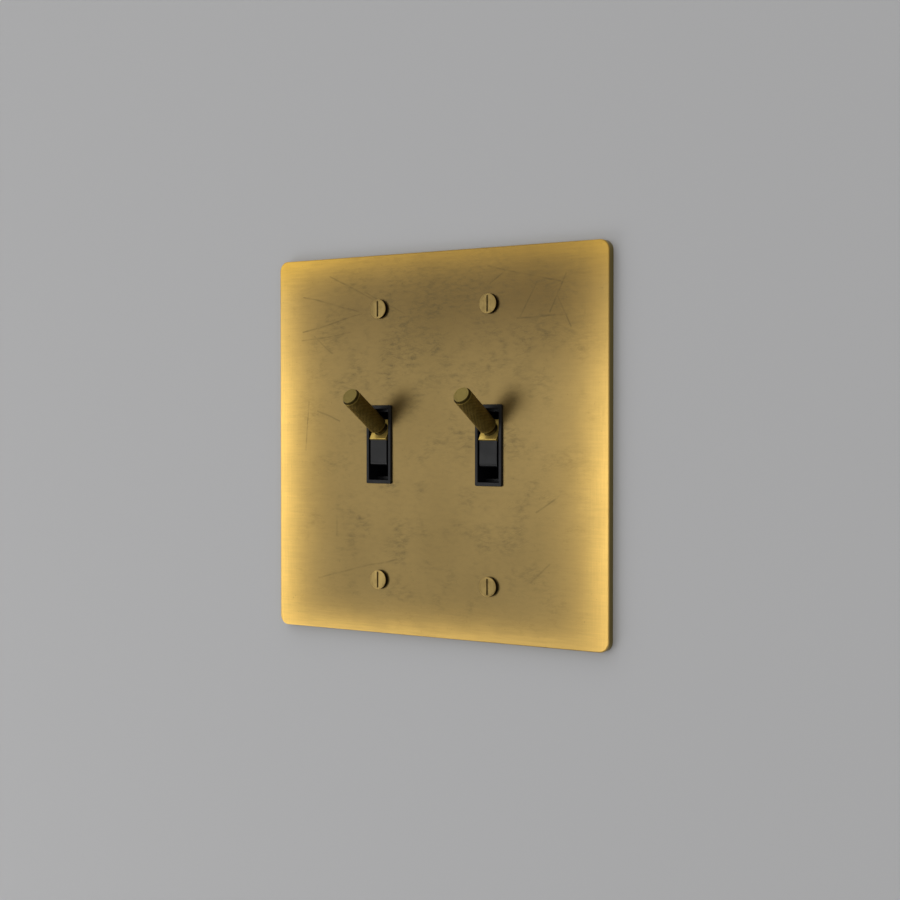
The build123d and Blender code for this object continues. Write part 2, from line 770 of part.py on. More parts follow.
def build_housing(gang_x):
    """Moulded rear housing: open-fronted box with rivet bosses, contact pillars, terminal slots and barriers."""
    slot_height = terminal_height + 2 * terminal_clearance
    slot_depth = terminal_strip + 2 * terminal_clearance
    hole_radius = terminal_screw_diameter / 2 + terminal_clearance
    pillar_front = contact_depth + terminal_strip + terminal_clearance
    barrier_x = (body_width + barrier_reach) / 2
    barrier_side = barrier_gap + barrier_thickness / 2
    contact_barrier = button_v + terminal_screw_head_diameter / 2 + barrier_side
    common_barrier = common_height / 2 + barrier_side
    with BuildPart() as housing:
        with BuildSketch(front_plane(gang_x, flange_thickness)):
            RectangleRounded(body_width, body_height, body_corner_radius)
        extrude(amount=-housing_depth)
        chamfer(housing.faces().sort_by(Axis.Y)[-1].edges(), housing_rear_chamfer)
        with BuildSketch(front_plane(gang_x, flange_thickness)):
            with Locations((-barrier_x, -contact_barrier), (-barrier_x, 0), (-barrier_x, contact_barrier)):
                Rectangle(barrier_reach, barrier_thickness)
            with Locations((barrier_x, -common_barrier), (barrier_x, common_barrier)):
                Rectangle(barrier_reach, barrier_thickness)
        extrude(amount=barrier_setback - housing_depth)
        with BuildSketch(front_plane(gang_x, housing_back)):
            RectangleRounded(panel_width, panel_height, panel_corner_radius)
        extrude(amount=panel_depth, mode=Mode.SUBTRACT)
        with BuildSketch(front_plane(gang_x, flange_thickness)):
            RectangleRounded(chamber_width, chamber_height, chamber_corner_radius)
        extrude(amount=-(chamber_back - flange_thickness), mode=Mode.SUBTRACT)
        with BuildSketch(front_plane(gang_x, flange_thickness)):
            with GridLocations(0, rivet_spacing, 1, 2):
                Circle(rivet_boss_diameter / 2)
        extrude(amount=-(chamber_back - flange_thickness))
        with BuildSketch(front_plane(gang_x, chamber_back)):
            with GridLocations(0, 2 * button_v, 1, 2):
                with Locations((-(chamber_width - pillar_inset) / 2, 0)):
                    Rectangle(pillar_inset, pillar_height)
        extrude(amount=chamber_back - pillar_front)
        with BuildSketch(front_plane(gang_x, housing_back)):
            with GridLocations(0, rivet_spacing, 1, 2):
                Circle(rivet_diameter / 2 + rivet_fit)
        extrude(amount=housing_depth, mode=Mode.SUBTRACT)
        with BuildSketch(side_plane(gang_x - body_width / 2)):
            with Locations((contact_depth + terminal_strip / 2, 0)):
                with GridLocations(0, 2 * button_v, 1, 2):
                    Rectangle(slot_depth, slot_height)
            with Locations((contact_screw_depth, 0)):
                with GridLocations(0, 2 * button_v, 1, 2):
                    Circle(hole_radius)
        extrude(amount=housing_wall, mode=Mode.SUBTRACT)
        with BuildSketch(side_plane(gang_x + body_width / 2 - housing_wall)):
            with Locations((common_depth + terminal_strip / 2, 0)):
                Rectangle(slot_depth, common_height + 2 * terminal_clearance)
            with Locations((common_screw_depth, 0)):
                Circle(hole_radius)
        extrude(amount=housing_wall, mode=Mode.SUBTRACT)
    return housing.part


def build_terminal_screws():
    """Slotted binding screws: two on each mechanism's left side, one on its right."""
    grip = terminal_strip + terminal_screw_grip
    with BuildPart() as screws:
        for gang_x in gangs.values():
            places = [
                (-1, contact_screw_depth, button_v),
                (-1, contact_screw_depth, -button_v),
                (1, common_screw_depth, 0),
            ]
            for side, depth, height in places:
                seat = Plane(
                    origin=(gang_x + side * tab_outer, depth, height),
                    x_dir=(0, 1, 0),
                    z_dir=(side, 0, 0),
                )
                with BuildSketch(seat):
                    Circle(terminal_screw_head_diameter / 2)
                extrude(amount=terminal_screw_head_height - terminal_screw_rim)
                with Locations(seat.offset(terminal_screw_head_height - terminal_screw_rim)):
                    Cone(
                        terminal_screw_head_diameter / 2,
                        terminal_screw_head_diameter / 2 - terminal_screw_rim,
                        terminal_screw_rim,
                        align=(Align.CENTER, Align.CENTER, Align.MIN),
                    )
                with BuildSketch(seat.offset(terminal_screw_head_height)):
                    Rectangle(terminal_screw_head_diameter, terminal_screw_slot_width)
                extrude(amount=-terminal_screw_slot_depth, mode=Mode.SUBTRACT)
                with BuildSketch(seat):
                    Circle(terminal_screw_diameter / 2)
                extrude(amount=-grip)
    return screws.part


def build_body_rivets():
    """Long rivets: sunk flush in the yoke, headed over behind the housing."""
    with BuildPart() as rivets:
        for gang_x in gangs.values():
            with BuildSketch(front_plane(gang_x)):
                with GridLocations(0, rivet_spacing, 1, 2):
                    Circle(rivet_diameter / 2)
            extrude(amount=-housing_back)
            with Locations(front_plane(gang_x)):
                with GridLocations(0, rivet_spacing, 1, 2):
                    Cone(
                        rivet_diameter / 2,
                        rivet_sink_diameter / 2,
                        yoke_thickness,
                        align=(Align.CENTER, Align.CENTER, Align.MIN),
                    )
            with Locations(front_plane(gang_x, housing_back)):
                with GridLocations(0, rivet_spacing, 1, 2):
                    Cone(
                        rivet_diameter / 2,
                        rivet_head_diameter / 2,
                        rivet_head_height,
                        align=(Align.CENTER, Align.CENTER, Align.MAX),
                    )
    return rivets.part


def build_ground_screws():
    """Hexagon-headed ground screws in the lower ends of the yokes."""
    with BuildPart() as screws:
        for gang_x in gangs.values():
            seat = Plane(
                origin=(gang_x + ground_screw_x, 0, ground_screw_z),
                x_dir=(1, 0, 0),
                z_dir=(0, 1, 0),
            )
            with BuildSketch(seat):
                RegularPolygon(ground_screw_head_size / 2, 6, major_radius=False)
            extrude(amount=ground_screw_head_height)
            with BuildSketch(seat.offset(ground_screw_head_height)):
                Rectangle(2 * ground_screw_head_size, ground_screw_slot_width)
            extrude(amount=-ground_screw_slot_depth, mode=Mode.SUBTRACT)
            with BuildSketch(seat):
                Circle(ground_screw_diameter / 2)
            extrude(amount=-yoke_thickness)
    return screws.part


shared_parts = {
    "cover_plate": build_cover_plate,
    "plate_screws": build_plate_screws,
    "box_screws": build_box_screws,
    "screw_retainers": build_screw_retainers,
    "body_rivets": build_body_rivets,
    "terminal_screws": build_terminal_screws,
    "ground_screws": build_ground_screws,
}

gang_parts = {
    "yoke": build_yoke,
    "front_frame": build_front_frame,
    "housing": build_housing,
    "toggle_block": build_toggle_block,
    "saddle": build_saddle,
    "lever": build_lever,
    "pivot_pin": build_pivot_pin,
    "plunger": build_plunger,
    "plunger_spring": build_plunger_spring,
    "rocker_contact": build_rocker_contact,
    "rocker_buttons": build_rocker_buttons,
    "common_terminal": build_common_terminal,
    "fixed_buttons": build_fixed_buttons,
}

for name, build in shared_parts.items():
    save(build(), name)

for side_name, gang_centre in gangs.items():
    for name, build in gang_parts.items():
        save(build(gang_centre), f"{side_name}_{name}")
    save(build_contact_terminal(gang_centre, 1), f"{side_name}_upper_terminal")
    save(build_contact_terminal(gang_centre, -1), f"{side_name}_lower_terminal")
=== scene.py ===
import json
from math import cos, floor, pi, radians, sin

import bmesh
import bpy
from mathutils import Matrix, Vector


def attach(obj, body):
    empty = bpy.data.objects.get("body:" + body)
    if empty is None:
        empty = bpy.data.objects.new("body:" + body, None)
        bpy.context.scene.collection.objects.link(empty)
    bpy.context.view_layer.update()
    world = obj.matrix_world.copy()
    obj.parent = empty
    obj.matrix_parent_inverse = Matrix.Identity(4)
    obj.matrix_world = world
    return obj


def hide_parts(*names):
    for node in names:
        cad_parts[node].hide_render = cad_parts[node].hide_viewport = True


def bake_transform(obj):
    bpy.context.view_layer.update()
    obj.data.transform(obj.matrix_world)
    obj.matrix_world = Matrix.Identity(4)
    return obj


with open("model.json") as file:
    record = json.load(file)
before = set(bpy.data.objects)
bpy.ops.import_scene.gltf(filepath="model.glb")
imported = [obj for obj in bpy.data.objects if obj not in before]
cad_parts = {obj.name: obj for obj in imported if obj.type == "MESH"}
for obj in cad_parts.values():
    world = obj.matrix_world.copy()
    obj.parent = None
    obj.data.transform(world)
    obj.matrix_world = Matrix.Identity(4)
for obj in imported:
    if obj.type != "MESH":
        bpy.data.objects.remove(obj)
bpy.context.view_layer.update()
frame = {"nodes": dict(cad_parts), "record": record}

# Two-gang toggle light switch on a pale wall. Sizes are millimetres unless a name says otherwise.
# The wall is the plane Y = 0, the room is on the -Y side, X runs right and Z up.
MM = 0.001

# Places and sizes that the pieces below share with the solids
GANG_X = 23.02
PLATE_HALF_WIDTH = 68.75
PLATE_HALF_HEIGHT = 67.65
PLATE_FRONT = -3.4
PLATE_SCREW_Z = 48.42
BOX_SCREW_Z = 41.67
PIVOT_Y = 6.3
REST_ANGLE = radians(31.8)
SIDES = {"left": -1, "right": 1}

# Lever grip and its knurling
GRIP_RADIUS = 3.3
GRIP_START = 13.1
GRIP_END = 31.35
CAP_START = 31.81
KNURL_TEETH = 34
KNURL_ROWS = 18
KNURL_SAMPLES = 6
KNURL_DEPTH = 0.13
KNURL_FLAT = 0.25

# Screw threads
THREAD_PITCH = 0.794
THREAD_DEPTH = 0.42
THREAD_STEEPNESS = 1.25
THREAD_CREST = 0.125
THREAD_SEGMENTS = 32
THREAD_SAMPLES = 8
SLOT_SEGMENTS = 16

# Heads of the plate screws
SCREW_FACE_Y = -4.7
SCREW_HEAD_RADIUS = 3.45

# Coil springs, from the toggle blocks' bores to the plungers' bores, measured inwards from the pivots
SPRING_START = 2.81
SPRING_END = 10.89
SPRING_TURNS = 6
SPRING_RADIUS = 1.04
SPRING_WIRE_RADIUS = 0.21
SPRING_STEPS = 24
SPRING_SEGMENTS = 10

# Edges that turn by more than this stay crisp
SHARP_ANGLE = radians(32)

# Wall, a little in front of the plate's back rim, with an opening for the mechanisms
WALL_REACH = 3000.0
WALL_Y = -0.3
OPENING_HALF_WIDTH = 55.0
OPENING_HALF_HEIGHT = 60.0

# Camera, fitted to the plate's corners and the screws in a square picture. Its place is in metres.
CAMERA_PLACE = (0.29668, -0.44912, 0.00741)
CAMERA_YAW = radians(33.018)
CAMERA_PITCH = radians(-0.986)
CAMERA_LENS = 61.168
SENSOR_WIDTH = 36.0

# Direction from the switch in which the room is dimmest
DIM_SIDE = (0.94, -0.34, 0.0)


def srgb(red, green, blue):
    """Linear colour of a screen colour given as 0 to 255 values."""
    def linear(value):
        share = value / 255
        return share / 12.92 if share <= 0.04045 else ((share + 0.055) / 1.055) ** 2.4
    return (linear(red), linear(green), linear(blue), 1.0)


# Colours of the plate
PATINA = srgb(132, 112, 70)
DEEP_PATINA = srgb(100, 82, 50)
# Gold of the rubbed edges, which also carries painted highlight
RUBBED_GOLD_AND_SHEEN = srgb(255, 210, 115)
RUBBED_TOP_GOLD_AND_SHEEN = srgb(255, 203, 86)
SCUFF_COLOUR = srgb(84, 76, 55)
SCRATCH_COLOUR = srgb(74, 66, 46)
# Plate's sides: brown, darkened as painted shade
PLATE_SIDE_SHADE = srgb(146, 128, 68)
PLATE_BACK = srgb(236, 200, 126)
PLATE_BACK_DARK = srgb(212, 174, 102)

# Colours of the plate screws
SCREW_COLOUR = srgb(149, 127, 78)
SCREW_SMUDGE = srgb(119, 100, 60)
SCREW_RIM = srgb(186, 154, 88)
SCREW_SHADE = srgb(42, 33, 17)

# Colours of the levers
CAP_COLOUR = srgb(128, 112, 61)
CAP_TARNISH = srgb(108, 94, 50)
GRIP_COLOUR = srgb(176, 150, 78)
GRIP_TARNISH = srgb(148, 124, 58)
# Knurl grooves: dark patina, and partly painted shade
GROOVE_PATINA_AND_SHADE = srgb(34, 27, 10)

# Colours of the retainers and the wall
FIBRE_DARK = srgb(96, 66, 40)
FIBRE_LIGHT = srgb(150, 112, 74)
WALL_PAINT = srgb(206, 206, 207)

# Shader sockets that take one value all over a surface
SOCKETS = {
    "metallic": "Metallic",
    "roughness": "Roughness",
    "base_color": "Base Color",
    "specular_ior_level": "Specular IOR Level",
}


class Finish:
    """One procedural material. Each call adds nodes and returns the socket that carries their result."""

    def __init__(self, name, **constants):
        self.material = bpy.data.materials.new(name)
        self.material.use_nodes = True
        self.nodes = self.material.node_tree.nodes
        self.links = self.material.node_tree.links
        self.shader = self.nodes["Principled BSDF"]
        for socket, value in constants.items():
            self.shader.inputs[SOCKETS[socket]].default_value = value

    def feed(self, socket, value):
        """Links another socket, or sets a plain value."""
        if isinstance(value, bpy.types.NodeSocket):
            self.links.new(value, socket)
        else:
            socket.default_value = value

    def place(self):
        """Place on the piece in millimetres, carried along when the piece moves."""
        coordinates = self.nodes.new("ShaderNodeTexCoord")
        return self.vector("SCALE", coordinates.outputs["Object"], scale=1 / MM)

    def split(self, vector):
        """X, Y and Z of a vector."""
        node = self.nodes.new("ShaderNodeSeparateXYZ")
        self.feed(node.inputs[0], vector)
        return node.outputs

    def math(self, operation, *values, clamp=False):
        """Result of an operation on numbers."""
        node = self.nodes.new("ShaderNodeMath")
        node.operation = operation
        node.use_clamp = clamp
        for socket, value in zip(node.inputs, values):
            self.feed(socket, value)
        return node.outputs[0]

    def vector(self, operation, *values, scale=None):
        """Result of an operation on vectors: a number for a product, length or distance, else a vector."""
        node = self.nodes.new("ShaderNodeVectorMath")
        node.operation = operation
        for socket, value in zip(node.inputs, values):
            self.feed(socket, value)
        if scale is not None:
            self.feed(node.inputs["Scale"], scale)
        measures = ("DOT_PRODUCT", "LENGTH", "DISTANCE")
        return node.outputs["Value" if operation in measures else "Vector"]

    def noise(self, place, size, detail=2.0, roughness=0.5, stretch=(1, 1, 1)):
        """Soft noise from 0 to 1, with blots about size across, longer along each axis by its stretch."""
        node = self.nodes.new("ShaderNodeTexNoise")
        shares = tuple(1 / (size * length) for length in stretch)
        self.feed(node.inputs["Vector"], self.vector("MULTIPLY", place, shares))
        node.inputs["Scale"].default_value = 1.0
        node.inputs["Detail"].default_value = detail
        node.inputs["Roughness"].default_value = roughness
        return node.outputs[0]

    def diagonal(self, first, second):
        """Length of the diagonal of a rectangle with these sides."""
        squares = [self.math("POWER", leg, 2.0) for leg in (first, second)]
        return self.math("SQRT", self.math("ADD", *squares))

    def tone(self, place, size):
        """Noise with three independent channels, for pushing places about."""
        node = self.nodes.new("ShaderNodeTexNoise")
        self.feed(node.inputs["Vector"], place)
        node.inputs["Scale"].default_value = 1 / size
        return node.outputs["Color"]

    def turn(self, place, degrees):
        """Place turned about the Y axis, which stands square to the plate."""
        node = self.nodes.new("ShaderNodeVectorRotate")
        node.rotation_type = "Y_AXIS"
        self.feed(node.inputs["Vector"], place)
        node.inputs["Angle"].default_value = radians(degrees)
        return node.outputs[0]

    def remap(self, value, low, high, to_low=0.0, to_high=1.0, smooth=False):
        """Number moved from the range low to high into another range, and held inside it."""
        node = self.nodes.new("ShaderNodeMapRange")
        node.interpolation_type = "SMOOTHSTEP" if smooth else "LINEAR"
        for socket, number in zip(node.inputs, (value, low, high, to_low, to_high)):
            self.feed(socket, number)
        return node.outputs[0]

    def mix(self, factor, first, second):
        """Colour between two others."""
        node = self.nodes.new("ShaderNodeMix")
        node.data_type = "RGBA"
        self.feed(node.inputs[0], factor)
        self.feed(node.inputs[6], first)
        self.feed(node.inputs[7], second)
        return node.outputs[2]

    def tint(self, colour, amount):
        """Colour made lighter or darker by a factor."""
        return self.vector("SCALE", colour, scale=amount)

    def bump(self, height, depth):
        """Relief of the given depth for a height from 0 to 1."""
        node = self.nodes.new("ShaderNodeBump")
        node.inputs["Distance"].default_value = depth * MM
        self.feed(node.inputs["Height"], height)
        return node.outputs[0]

    def dress(self, colour, roughness, normal):
        """Material with these results on its shader."""
        for name, value in (("Base Color", colour), ("Roughness", roughness), ("Normal", normal)):
            self.feed(self.shader.inputs[name], value)
        return self.material


# Scratches on the plate's front face, as the (X, Z) of their two ends
PLATE_SCRATCHES = [
    ((-57.4, 54.3), (-30.8, 47.3)),
    ((-57.9, 41.0), (-30.8, 47.0)),
    ((-45.3, 61.0), (-25.9, 52.1)),
    ((-29.5, 54.8), (-12.0, 46.6)),
    ((-58.4, 38.0), (-36.2, 40.3)),
    ((22.5, 61.2), (50.9, 54.7)),
    ((41.7, 54.8), (35.2, 43.4)),
    ((34.0, 43.1), (53.2, 43.7)),
    ((52.8, 57.2), (46.7, 44.6)),
    ((49.8, 49.8), (54.7, 39.7)),
    ((-50.6, -49.1), (-15.5, -40.8)),
    ((41.5, -22.6), (49.9, -17.0)),
    ((39.5, -45.9), (46.8, -39.4)),
    ((-55.2, 15.2), (-56.6, -2.3)),
    ((-51.1, 11.9), (-40.9, 8.6)),
    ((-42.3, -26.3), (-42.3, -33.3)),
    ((-52.4, 39.5), (-44.2, 33.4)),
    ((30.6, 60.2), (23.2, 55.2)),
]
SCRATCH_REACH = 0.42

# Directions of the hairlines, in degrees
SCUFF_ANGLES = (12, 28, 164)

# How far the gold reaches in from each edge, and how abruptly it ends
LEFT_GLOW = 10.2
RIGHT_GLOW = 10.0
BOTTOM_GLOW = 5.8
TOP_GLOW = 7.3
GLOW_FALL = 1.3

# Where the plate's side begins behind its front, and where its back begins inside its edges
SIDE_START = (0.3, 0.6)
BACK_START = (0.9, 1.3)

# Noise strays from this value evenly both ways
NOISE_MIDDLE = 0.5


def scratch_mask(finish, place, start, end):
    """1 on the line between two (X, Z) points of the plate's face, fading to 0 beside it."""
    first = Vector((start[0], 0, start[1]))
    run = Vector((end[0], 0, end[1])) - first
    offset = finish.vector("SUBTRACT", place, first)
    along = finish.math("DIVIDE", finish.vector("DOT_PRODUCT", offset, run), run.length_squared, clamp=True)
    foot = finish.vector("SCALE", run, scale=along)
    away = finish.vector("DISTANCE", offset, foot)
    return finish.remap(away, 0.0, SCRATCH_REACH, 1.0, 0.0)


def plate_brass():
    """Antique brass: brown patina, gold towards the edges (rubbed wear, and painted highlight that is
    stronger towards the lower left), scuffs, brushing and scratches.
    """
    finish = Finish("plate_brass", metallic=1.0)
    place = finish.place()
    x, y, z = finish.split(place)

    # Gold towards the edges, partly rubbed wear and partly painted highlight, with a wavering, finely
    # streaked boundary
    wide_waver = finish.remap(finish.noise(place, 16.0, 2.0), 0.3, 0.7, -0.7, 0.7)
    streaked = finish.noise(place, 0.7, 3.0, 0.6, stretch=(14, 14, 1))
    fine_waver = finish.remap(streaked, 0.25, 0.75, -0.9, 0.9)
    waver = finish.math("ADD", wide_waver, fine_waver)

    def burnish_and_sheen(distance, width, amount):
        """Gold of rubbed wear and painted highlight, fading with the distance from an edge."""
        inward = finish.math("MAXIMUM", finish.math("ADD", distance, waver), 0.0)
        fall = finish.math("POWER", finish.math("DIVIDE", inward, width), GLOW_FALL)
        fade = finish.math("EXPONENT", finish.math("MULTIPLY", fall, -1.0))
        return finish.math("MULTIPLY", fade, amount)

    from_left = finish.math("ADD", x, PLATE_HALF_WIDTH)
    from_right = finish.math("SUBTRACT", PLATE_HALF_WIDTH, x)
    from_bottom = finish.math("ADD", z, PLATE_HALF_HEIGHT)
    from_top = finish.math("SUBTRACT", PLATE_HALF_HEIGHT, z)
    # The gold weakens towards the top and the right: painted highlight, strongest where the light falls
    glows = [
        burnish_and_sheen(from_left, LEFT_GLOW, finish.remap(z, 0.0, 66.0, 0.97, 0.6, smooth=True)),
        burnish_and_sheen(from_right, RIGHT_GLOW, finish.remap(z, -20.0, 62.0, 0.8, 0.29, smooth=True)),
        burnish_and_sheen(from_bottom, BOTTOM_GLOW, finish.remap(x, -60.0, 60.0, 0.61, 0.42)),
        burnish_and_sheen(from_top, TOP_GLOW, finish.remap(x, -64.0, 0.0, 0.5, 0.24)),
    ]
    dull = 1.0
    for glow in glows:
        dull = finish.math("MULTIPLY", dull, finish.math("SUBTRACT", 1.0, glow))
    gold = finish.math("SUBTRACT", 1.0, dull)

    # Patina, darker towards the top and the right
    upper = finish.remap(z, 16.0, 58.0, smooth=True)
    away_from_left = finish.remap(x, -62.0, 45.0, 0.44, 1.03)
    clouds = finish.noise(place, 30.0, 2.0)
    darkness = finish.math("MULTIPLY", upper, away_from_left)
    colour = finish.mix(darkness, PATINA, DEEP_PATINA)
    colour = finish.tint(colour, finish.remap(clouds, 0.25, 0.75, 0.92, 1.08))
    colour = finish.tint(colour, finish.remap(finish.math("ABSOLUTE", x), 0.0, 40.0, 0.98, 1.09))

    # Smudges and hairlines, in patches
    worn = finish.math("ADD", finish.noise(place, 10.0, 3.0), finish.remap(z, 18.0, 56.0, -0.015, 0.1))
    patches = finish.remap(worn, 0.46, 0.66)
    drift = finish.vector("SUBTRACT", finish.tone(place, 5.0), (NOISE_MIDDLE,) * 3)
    adrift = finish.vector("ADD", place, finish.vector("SCALE", drift, scale=1.6))
    wisps = finish.noise(adrift, 1.3, 5.0, 0.68, stretch=(2.6, 2.6, 1))
    scuffs = finish.remap(wisps, 0.46, 0.7, 0.0, 0.9)
    for angle in SCUFF_ANGLES:
        streaks = finish.noise(finish.turn(adrift, angle), 0.28, 1.0, stretch=(24, 24, 1))
        scuffs = finish.math("MAXIMUM", scuffs, finish.remap(streaks, 0.6, 0.78, 0.0, 0.6))
    scuffs = finish.math("MULTIPLY", scuffs, finish.remap(patches, 0.0, 1.0, 0.16, 0.7))
    colour = finish.mix(scuffs, colour, SCUFF_COLOUR)
    # Gold of the edges, rubbed wear and painted highlight, deeper near the top
    rubbed = finish.mix(finish.remap(z, 52.0, 67.0), RUBBED_GOLD_AND_SHEEN, RUBBED_TOP_GOLD_AND_SHEEN)
    colour = finish.mix(gold, colour, rubbed)

    # Brushing along the edges
    upright = finish.math("MAXIMUM", glows[0], glows[1])
    level = finish.math("MAXIMUM", glows[2], glows[3])
    down = finish.noise(place, 0.3, 3.0, 0.6, stretch=(1, 30, 30))
    across = finish.noise(place, 0.3, 3.0, 0.6, stretch=(30, 30, 1))
    brushed_down = finish.math("MULTIPLY", finish.math("SUBTRACT", down, NOISE_MIDDLE), upright)
    brushed_across = finish.math("MULTIPLY", finish.math("SUBTRACT", across, NOISE_MIDDLE), level)
    brushing = finish.math("ADD", brushed_down, brushed_across)
    colour = finish.tint(colour, finish.remap(brushing, -0.5, 0.5, 0.84, 1.16))

    # Long scratches, slightly bent and uneven, and specks
    bend = finish.remap(finish.noise(place, 14.0, 1.0), 0.0, 1.0, -0.8, 0.8)
    on_face = finish.vector("MULTIPLY", place, (1, 0, 1))
    wavy = finish.vector("ADD", on_face, finish.vector("SCALE", Vector((0.3, 0, 1)), scale=bend))
    scratches = 0.0
    for start, end in PLATE_SCRATCHES:
        scratches = finish.math("MAXIMUM", scratches, scratch_mask(finish, wavy, start, end))
    uneven = finish.remap(finish.noise(place, 4.0, 3.0), 0.35, 0.65, 0.2, 1.0)
    scratches = finish.math("MULTIPLY", finish.math("MULTIPLY", scratches, uneven), 0.5)
    specks = finish.remap(finish.noise(place, 0.9, 2.0), 0.68, 0.78, 0.0, 0.25)
    marks = finish.math("MAXIMUM", scratches, specks)
    colour = finish.mix(marks, colour, SCRATCH_COLOUR)

    # Sides, darkened as painted shade, and back
    behind_front = finish.remap(y, *(PLATE_FRONT + depth for depth in SIDE_START))
    from_sides = finish.math("MINIMUM", from_left, from_right)
    from_ends = finish.math("MINIMUM", from_bottom, from_top)
    from_edge = finish.math("MINIMUM", from_sides, from_ends)
    back = finish.mix(finish.remap(clouds, 0.3, 0.75), PLATE_BACK, PLATE_BACK_DARK)
    back = finish.tint(back, finish.remap(across, 0.2, 0.8, 0.78, 1.12))
    hidden = finish.mix(finish.remap(from_edge, *BACK_START), PLATE_SIDE_SHADE, back)
    colour = finish.mix(behind_front, colour, hidden)

    roughness = finish.remap(gold, 0.0, 1.0, 0.34, 0.3)
    roughness = finish.math("ADD", roughness, finish.math("MULTIPLY", scuffs, 0.1))
    return finish.dress(colour, roughness, finish.bump(brushing, 0.003))


def screw_brass():
    """Antique brass screws: brushed along the slot, dark in it and on their sides, rims rubbed lighter."""
    finish = Finish("screw_brass", metallic=1.0)
    place = finish.place()
    x, y, z = finish.split(place)
    lines = finish.noise(place, 0.25, 2.0, stretch=(1, 8, 14))
    smudge = finish.remap(finish.noise(place, 2.0, 4.0), 0.45, 0.7)
    colour = finish.mix(finish.math("MULTIPLY", smudge, 0.25), SCREW_COLOUR, SCREW_SMUDGE)
    colour = finish.tint(colour, finish.remap(lines, 0.25, 0.75, 0.88, 1.12))

    # The lower left screw is the lightest
    colour = finish.tint(colour, finish.remap(finish.math("ADD", x, z), -70.0, -40.0, 1.34, 1.0))

    # Rims, and the shade in the slots and on the sides
    side = finish.math("SUBTRACT", finish.math("ABSOLUTE", x), GANG_X)
    rise = finish.math("SUBTRACT", finish.math("ABSOLUTE", z), PLATE_SCREW_Z)
    radius = finish.diagonal(side, rise)
    near_rim = finish.remap(radius, SCREW_HEAD_RADIUS - 0.35, SCREW_HEAD_RADIUS - 0.1, smooth=True)
    colour = finish.mix(finish.math("MULTIPLY", near_rim, 0.35), colour, SCREW_RIM)
    behind_face = finish.remap(y, SCREW_FACE_Y + 0.08, SCREW_FACE_Y + 0.25, smooth=True)
    outside = finish.math("GREATER_THAN", radius, SCREW_HEAD_RADIUS - 0.45)
    in_slot = finish.math("MULTIPLY", finish.math("LESS_THAN", y, SCREW_FACE_Y + 0.7), 0.55)
    shade = finish.math("MULTIPLY", behind_face, finish.math("MAXIMUM", outside, in_slot))
    colour = finish.mix(shade, colour, SCREW_SHADE)

    roughness = finish.remap(smudge, 0.0, 1.0, 0.36, 0.44)
    return finish.dress(colour, roughness, finish.bump(lines, 0.004))


def lever_brass():
    """Antique brass lever: dark in the knurl's grooves from patina and painted shade, rubbed on its points,
    smooth olive cap.
    """
    finish = Finish("lever_brass", metallic=1.0)
    place = finish.place()
    x = finish.split(place)[0]
    side = finish.math("SUBTRACT", finish.math("ABSOLUTE", x), GANG_X)
    from_pivot = finish.vector("SUBTRACT", place, (0, PIVOT_Y, 0))
    across = finish.vector("DOT_PRODUCT", from_pivot, (0, sin(REST_ANGLE), cos(REST_ANGLE)))
    along = finish.vector("DOT_PRODUCT", from_pivot, (0, -cos(REST_ANGLE), sin(REST_ANGLE)))
    radius = finish.diagonal(side, across)
    tarnish = finish.remap(finish.noise(place, 2.5, 4.0), 0.35, 0.7)
    cap = finish.mix(finish.math("MULTIPLY", tarnish, 0.35), CAP_COLOUR, CAP_TARNISH)
    grip = finish.mix(tarnish, GRIP_COLOUR, GRIP_TARNISH)
    # Knurl grooves darkened: dark patina, and partly painted shade
    groove = finish.remap(radius, GRIP_RADIUS - KNURL_DEPTH, GRIP_RADIUS - 0.02, 0.9, 0.0)
    grip = finish.mix(groove, grip, GROOVE_PATINA_AND_SHADE)
    on_cap = finish.math("GREATER_THAN", along, CAP_START)
    colour = finish.mix(on_cap, grip, cap)
    roughness = finish.remap(on_cap, 0.0, 1.0, 0.42, 0.38)
    grain = finish.noise(place, 0.3, 3.0)
    return finish.dress(colour, roughness, finish.bump(grain, 0.003))


def mottled_metal(name, light, dark, roughness, grain, blot):
    """Plain metal with cloudy tone, fine grain lines along the stretched axis and uneven gloss."""
    finish = Finish(name, metallic=1.0)
    place = finish.place()
    clouds = finish.remap(finish.noise(place, blot, 4.0), 0.3, 0.72)
    lines = finish.noise(place, 0.3, 3.0, stretch=grain)
    colour = finish.mix(clouds, light, dark)
    colour = finish.tint(colour, finish.remap(lines, 0.2, 0.8, 0.9, 1.1))
    gloss = finish.remap(clouds, 0.0, 1.0, roughness - 0.06, roughness + 0.06)
    return finish.dress(colour, gloss, finish.bump(lines, 0.004))


def moulded_plastic(name, light, dark, roughness, grain_size, relief, shine):
    """Moulded plastic: fine pebbled skin, faint cloudy tone and slightly uneven gloss."""
    finish = Finish(name, specular_ior_level=shine)
    place = finish.place()
    clouds = finish.noise(place, 7.0, 4.0)
    pebbles = finish.noise(place, grain_size, 2.0)
    colour = finish.mix(finish.remap(clouds, 0.3, 0.7), light, dark)
    gloss = finish.remap(clouds, 0.3, 0.7, roughness - 0.05, roughness + 0.05)
    return finish.dress(colour, gloss, finish.bump(pebbles, relief))


def fibre_board():
    """Pressed fibre washer: matted brown fibres."""
    finish = Finish("fibre_board")
    place = finish.place()
    mat = finish.noise(place, 0.5, 5.0, 0.7, stretch=(3, 1, 1))
    weft = finish.noise(place, 0.5, 5.0, 0.7, stretch=(1, 1, 3))
    fibres = finish.math("MAXIMUM", mat, weft)
    colour = finish.mix(finish.remap(fibres, 0.4, 0.75), FIBRE_DARK, FIBRE_LIGHT)
    return finish.dress(colour, finish.remap(fibres, 0.3, 0.8, 0.9, 0.7), finish.bump(fibres, 0.03))


